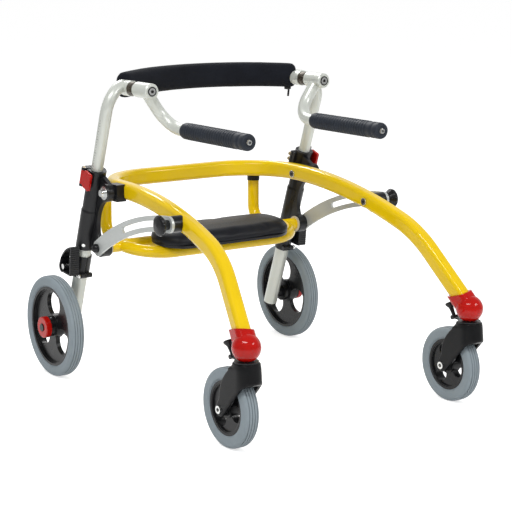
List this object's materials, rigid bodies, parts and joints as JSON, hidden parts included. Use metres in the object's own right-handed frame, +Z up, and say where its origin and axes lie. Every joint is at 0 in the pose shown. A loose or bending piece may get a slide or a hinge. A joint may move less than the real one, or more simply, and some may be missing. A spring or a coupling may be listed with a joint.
{
  "type": "posterior walker",
  "caption": "Folding posterior walker: bent tube frame behind the user, swivel front casters, braked rear wheels, sliding handlebar with turning grips, backrest pad and flip-up seat.",
  "frame": {"origin": "on the floor, below the middle of the bounding box", "axes": "+Z up, -Y the walking direction, +X the user's left"},
  "size_m": [0.6246, 0.749, 0.611],
  "materials": {
    "yellow_paint": "gloss powder coat",
    "red_plastic": "moulded, gloss",
    "black_plastic": "moulded, fine grain",
    "grey_tyre": "matt grey rubber",
    "bright_metal": "satin",
    "leg_metal": "clear anodised",
    "cream_plastic": "moulded",
    "brass_metal": "satin",
    "black_rubber": "matt",
    "black_vinyl": "grained vinyl",
    "black_fabric": "woven sleeve"
  },
  "bodies": {
    "main_frame": {"frame_tube": "yellow_paint", "caster_ball_left": "red_plastic", "caster_ball_right": "red_plastic", "swivel_bearings": "black_plastic", "link_saddles": "black_plastic", "pivot_saddles": "black_plastic", "pivot_bolts": "bright_metal", "link_bolts": "bright_metal"},
    "rear_frame": {"bracket_left": "black_plastic", "bracket_right": "black_plastic", "rear_leg_left": "leg_metal", "rear_leg_right": "leg_metal", "leg_caps": "black_plastic", "brake_clamp_left": "black_plastic", "brake_clamp_right": "black_plastic", "clamp_screws": "brass_metal", "rear_axles": "black_plastic", "axle_spacers": "black_plastic", "seat_bushes": "cream_plastic", "link_pins": "black_plastic", "lever_pins": "brass_metal"},
    "handlebar": {"handlebar_tube": "leg_metal", "joint_rings": "brass_metal", "backrest_pad": "black_fabric"},
    "seat": {"seat_frame": "yellow_paint", "seat_board": "black_plastic", "seat_cushion": "black_vinyl", "post_caps": "black_rubber"},
    "link_left": {"slotted_link_left": "bright_metal"},
    "link_knob_left": {"knob_left": "black_plastic"},
    "handle_left": {"handle_left": "leg_metal", "grip_left": "black_rubber", "handle_screws_left": "bright_metal"},
    "lever_left": {"clamp_lever_left": "red_plastic"},
    "cam_left": {"brake_cam_left": "black_plastic"},
    "rear_wheel_left": {"rear_tyre_left": "grey_tyre", "rear_rim_left": "black_plastic", "hub_cap_left": "red_plastic"},
    "fork_left": {"caster_fork_left": "black_plastic", "front_axle_left": "bright_metal"},
    "front_wheel_left": {"front_tyre_left": "grey_tyre", "front_rim_left": "black_plastic"},
    "lock_left": {"swivel_lock_left": "black_plastic"},
    "link_right": {"slotted_link_right": "bright_metal"},
    "link_knob_right": {"knob_right": "black_plastic"},
    "handle_right": {"handle_right": "leg_metal", "grip_right": "black_rubber", "handle_screws_right": "bright_metal"},
    "lever_right": {"clamp_lever_right": "red_plastic"},
    "cam_right": {"brake_cam_right": "black_plastic"},
    "rear_wheel_right": {"rear_tyre_right": "grey_tyre", "rear_rim_right": "black_plastic", "hub_cap_right": "red_plastic"},
    "fork_right": {"caster_fork_right": "black_plastic", "front_axle_right": "bright_metal"},
    "front_wheel_right": {"front_tyre_right": "grey_tyre", "front_rim_right": "black_plastic"},
    "lock_right": {"swivel_lock_right": "black_plastic"}
  },
  "joints": [
    {"name": "fold", "type": "hinge", "parent": "main_frame", "child": "rear_frame", "pos_m": [0, 0.1288, 0.381], "axis": [-1, 0, 0], "range_deg": [0, 70]},
    {"name": "height", "type": "slide", "parent": "rear_frame", "child": "handlebar", "axis": [0, -0.3322, 0.9432], "range_m": [-0.08, 0.06]},
    {"name": "seat_flip", "type": "hinge", "parent": "rear_frame", "child": "seat", "pos_m": [0, 0.1628, 0.2695], "axis": [-1, 0, 0], "range_deg": [0, 95]},
    {"name": "link_left", "type": "hinge", "parent": "rear_frame", "child": "link_left", "pos_m": [0.243, 0.1628, 0.2695], "axis": [1, 0, 0], "range_deg": [0, 70]},
    {"name": "knob_left", "type": "hinge", "parent": "main_frame", "child": "link_knob_left", "pos_m": [0.253, -0.09781, 0.35412], "axis": [1, 0, 0], "continuous": true},
    {"name": "handle_left", "type": "hinge", "parent": "handlebar", "child": "handle_left", "pos_m": [0.196, 0.03, 0.576], "axis": [0, -1, 0], "range_deg": [-30, 120]},
    {"name": "lever_left", "type": "hinge", "parent": "rear_frame", "child": "lever_left", "pos_m": [0.264, 0.1788, 0.40872], "axis": [0, -0.3322, 0.9432], "range_deg": [0, 90]},
    {"name": "cam_left", "type": "hinge", "parent": "rear_frame", "child": "cam_left", "pos_m": [0.273, 0.24158, 0.22443], "axis": [1, 0, 0], "range_deg": [0, 24]},
    {"name": "rear_wheel_left", "type": "hinge", "parent": "rear_frame", "child": "rear_wheel_left", "pos_m": [0.282, 0.2748, 0.1], "axis": [1, 0, 0], "continuous": true},
    {"name": "swivel_left", "type": "hinge", "parent": "main_frame", "child": "fork_left", "pos_m": [0.24741, -0.34677, 0.16233], "axis": [0, 0, 1], "continuous": true},
    {"name": "front_wheel_left", "type": "hinge", "parent": "fork_left", "child": "front_wheel_left", "pos_m": [0.24741, -0.29877, 0.07], "axis": [1, 0, 0], "continuous": true},
    {"name": "lock_left", "type": "hinge", "parent": "main_frame", "child": "lock_left", "pos_m": [0.24741, -0.30677, 0.16108], "axis": [-1, 0, 0], "range_deg": [0, 20]},
    {"name": "link_right", "type": "hinge", "parent": "rear_frame", "child": "link_right", "pos_m": [-0.243, 0.1628, 0.2695], "axis": [1, 0, 0], "range_deg": [0, 70]},
    {"name": "knob_right", "type": "hinge", "parent": "main_frame", "child": "link_knob_right", "pos_m": [-0.253, -0.09781, 0.35412], "axis": [-1, 0, 0], "continuous": true},
    {"name": "handle_right", "type": "hinge", "parent": "handlebar", "child": "handle_right", "pos_m": [-0.196, 0.03, 0.576], "axis": [0, 1, 0], "range_deg": [-30, 120]},
    {"name": "lever_right", "type": "hinge", "parent": "rear_frame", "child": "lever_right", "pos_m": [-0.264, 0.1788, 0.40872], "axis": [0, 0.3322, -0.9432], "range_deg": [0, 90]},
    {"name": "cam_right", "type": "hinge", "parent": "rear_frame", "child": "cam_right", "pos_m": [-0.273, 0.24158, 0.22443], "axis": [1, 0, 0], "range_deg": [0, 24]},
    {"name": "rear_wheel_right", "type": "hinge", "parent": "rear_frame", "child": "rear_wheel_right", "pos_m": [-0.282, 0.2748, 0.1], "axis": [1, 0, 0], "continuous": true},
    {"name": "swivel_right", "type": "hinge", "parent": "main_frame", "child": "fork_right", "pos_m": [-0.24741, -0.34677, 0.16233], "axis": [0, 0, 1], "continuous": true},
    {"name": "front_wheel_right", "type": "hinge", "parent": "fork_right", "child": "front_wheel_right", "pos_m": [-0.24741, -0.29877, 0.07], "axis": [1, 0, 0], "continuous": true},
    {"name": "lock_right", "type": "hinge", "parent": "main_frame", "child": "lock_right", "pos_m": [-0.24741, -0.30677, 0.16108], "axis": [-1, 0, 0], "range_deg": [0, 20]}
  ],
  "couplings": [
    {"joint": "link_left", "follows": "fold", "ratio": 1},
    {"joint": "link_right", "follows": "fold", "ratio": 1}
  ]
}
